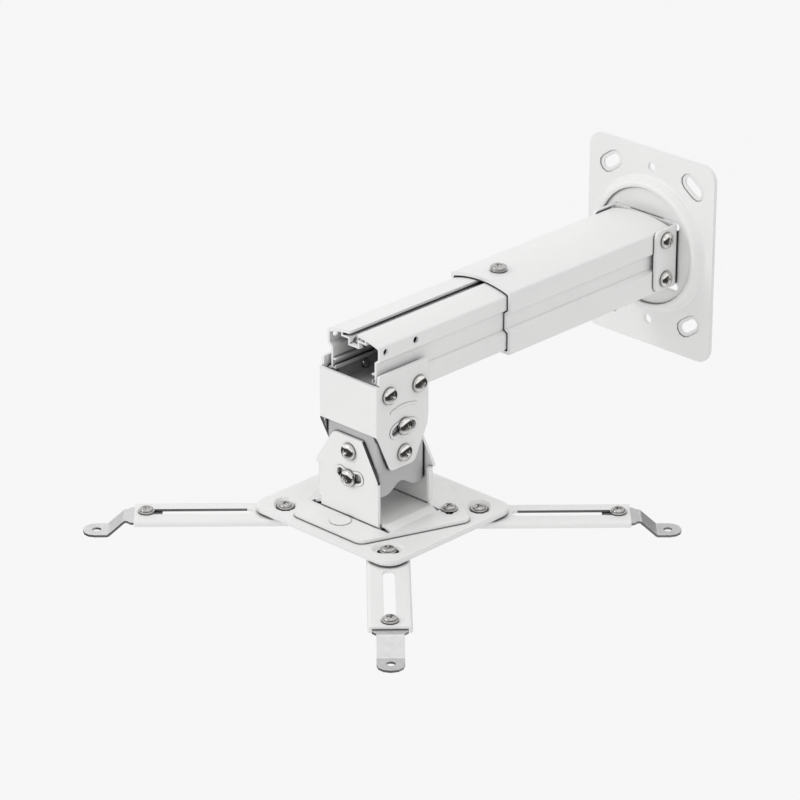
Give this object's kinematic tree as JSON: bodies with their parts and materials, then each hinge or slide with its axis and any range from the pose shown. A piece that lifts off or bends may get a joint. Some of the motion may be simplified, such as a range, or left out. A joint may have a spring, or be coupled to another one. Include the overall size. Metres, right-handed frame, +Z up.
{
  "type": "projector ceiling mount",
  "caption": "Wall plate, telescopic tube, two-axis tilting head and swinging slotted arms with sliding feet, for holding a projector below the tube.",
  "frame": {"origin": "on the tube's axis, in the plane of the wall plate's back face", "axes": "+Y into the wall along the tube's axis, +Z up, +X to the right seen from the projector's side"},
  "size_m": [0.2448, 0.345, 0.1675],
  "materials": {
    "white_powder_coat": "satin white powder coat with a fine texture",
    "nickel_screw": "nickel plated",
    "bright_steel": "bright zinc"
  },
  "bodies": {
    "wall": {"wall_plate": "white_powder_coat", "swivel_bolt": "bright_steel"},
    "outer": {"swivel_nut": "bright_steel", "tube_foot": "white_powder_coat", "outer_tube": "white_powder_coat", "slide_nut": "bright_steel", "slide_lock_screw": "nickel_screw", "foot_screw_left_lower": "nickel_screw", "foot_screw_left_upper": "nickel_screw", "foot_screw_right_lower": "nickel_screw", "foot_screw_right_upper": "nickel_screw"},
    "inner": {"inner_tube": "white_powder_coat", "neck_bracket": "white_powder_coat", "neck_screw_left_front": "nickel_screw", "neck_screw_left_back": "nickel_screw", "neck_screw_right_front": "nickel_screw", "neck_screw_right_back": "nickel_screw"},
    "knuckle_body": {"knuckle": "white_powder_coat", "pitch_pivot_screw_left": "nickel_screw", "pitch_pivot_screw_right": "nickel_screw", "pitch_lock_screw_left": "nickel_screw", "pitch_lock_screw_right": "nickel_screw", "roll_pivot_screw_front": "nickel_screw", "roll_pivot_screw_back": "nickel_screw", "roll_lock_screw_front": "nickel_screw", "roll_lock_screw_back": "nickel_screw"},
    "head": {"lower_bracket": "white_powder_coat", "adapter_plate": "white_powder_coat", "adapter_screw_left": "nickel_screw", "adapter_screw_right": "nickel_screw", "projector_plate": "white_powder_coat", "arm_screw_front_left": "nickel_screw", "arm_screw_front_right": "nickel_screw", "arm_screw_back_left": "nickel_screw", "arm_screw_back_right": "nickel_screw", "arm_nut_front_left": "nickel_screw", "arm_nut_front_right": "nickel_screw", "arm_nut_back_left": "nickel_screw", "arm_nut_back_right": "nickel_screw"},
    "arm_body_front_left": {"arm_front_left": "white_powder_coat"},
    "arm_body_front_right": {"arm_front_right": "white_powder_coat"},
    "arm_body_back_left": {"arm_back_left": "white_powder_coat"},
    "arm_body_back_right": {"arm_back_right": "white_powder_coat"},
    "foot_body_front_left": {"foot_front_left": "bright_steel", "clamp_screw_front_left": "nickel_screw", "clamp_nut_front_left": "nickel_screw"},
    "foot_body_front_right": {"foot_front_right": "bright_steel", "clamp_screw_front_right": "nickel_screw", "clamp_nut_front_right": "nickel_screw"},
    "foot_body_back_left": {"foot_back_left": "bright_steel", "clamp_screw_back_left": "nickel_screw", "clamp_nut_back_left": "nickel_screw"},
    "foot_body_back_right": {"foot_back_right": "bright_steel", "clamp_screw_back_right": "nickel_screw", "clamp_nut_back_right": "nickel_screw"}
  },
  "joints": [
    {"name": "swivel", "type": "hinge", "parent": "wall", "child": "outer", "pos_m": [0, 0, 0], "axis": [0, 1, 0], "range_deg": [-180, 180]},
    {"name": "telescope", "type": "slide", "parent": "outer", "child": "inner", "axis": [0, -1, 0], "range_m": [-0.064, 0.034]},
    {"name": "pitch", "type": "hinge", "parent": "inner", "child": "knuckle_body", "pos_m": [0, -0.232, -0.0503], "axis": [1, 0, 0], "range_deg": [-24, 24]},
    {"name": "roll", "type": "hinge", "parent": "knuckle_body", "child": "head", "pos_m": [0, -0.232, -0.0503], "axis": [0, 1, 0], "range_deg": [-10, 10]},
    {"name": "swing_front_left", "type": "hinge", "parent": "head", "child": "arm_body_front_left", "pos_m": [-0.04, -0.2626, -0.0964], "axis": [0, 0, 1], "range_deg": [-45, 45]},
    {"name": "swing_front_right", "type": "hinge", "parent": "head", "child": "arm_body_front_right", "pos_m": [0.04, -0.2626, -0.0964], "axis": [0, 0, 1], "range_deg": [-45, 45]},
    {"name": "swing_back_left", "type": "hinge", "parent": "head", "child": "arm_body_back_left", "pos_m": [-0.04, -0.1898, -0.0964], "axis": [0, 0, 1], "range_deg": [-45, 45]},
    {"name": "swing_back_right", "type": "hinge", "parent": "head", "child": "arm_body_back_right", "pos_m": [0.04, -0.1898, -0.0964], "axis": [0, 0, 1], "range_deg": [-45, 45]},
    {"name": "reach_front_left", "type": "slide", "parent": "arm_body_front_left", "child": "foot_body_front_left", "axis": [-0.7071, -0.7071, 0], "range_m": [-0.052, 0]},
    {"name": "reach_front_right", "type": "slide", "parent": "arm_body_front_right", "child": "foot_body_front_right", "axis": [0.7071, -0.7071, 0], "range_m": [-0.052, 0]},
    {"name": "reach_back_left", "type": "slide", "parent": "arm_body_back_left", "child": "foot_body_back_left", "axis": [-0.7071, 0.7071, 0], "range_m": [-0.052, 0]},
    {"name": "reach_back_right", "type": "slide", "parent": "arm_body_back_right", "child": "foot_body_back_right", "axis": [0.7071, 0.7071, 0], "range_m": [-0.052, 0]}
  ]
}
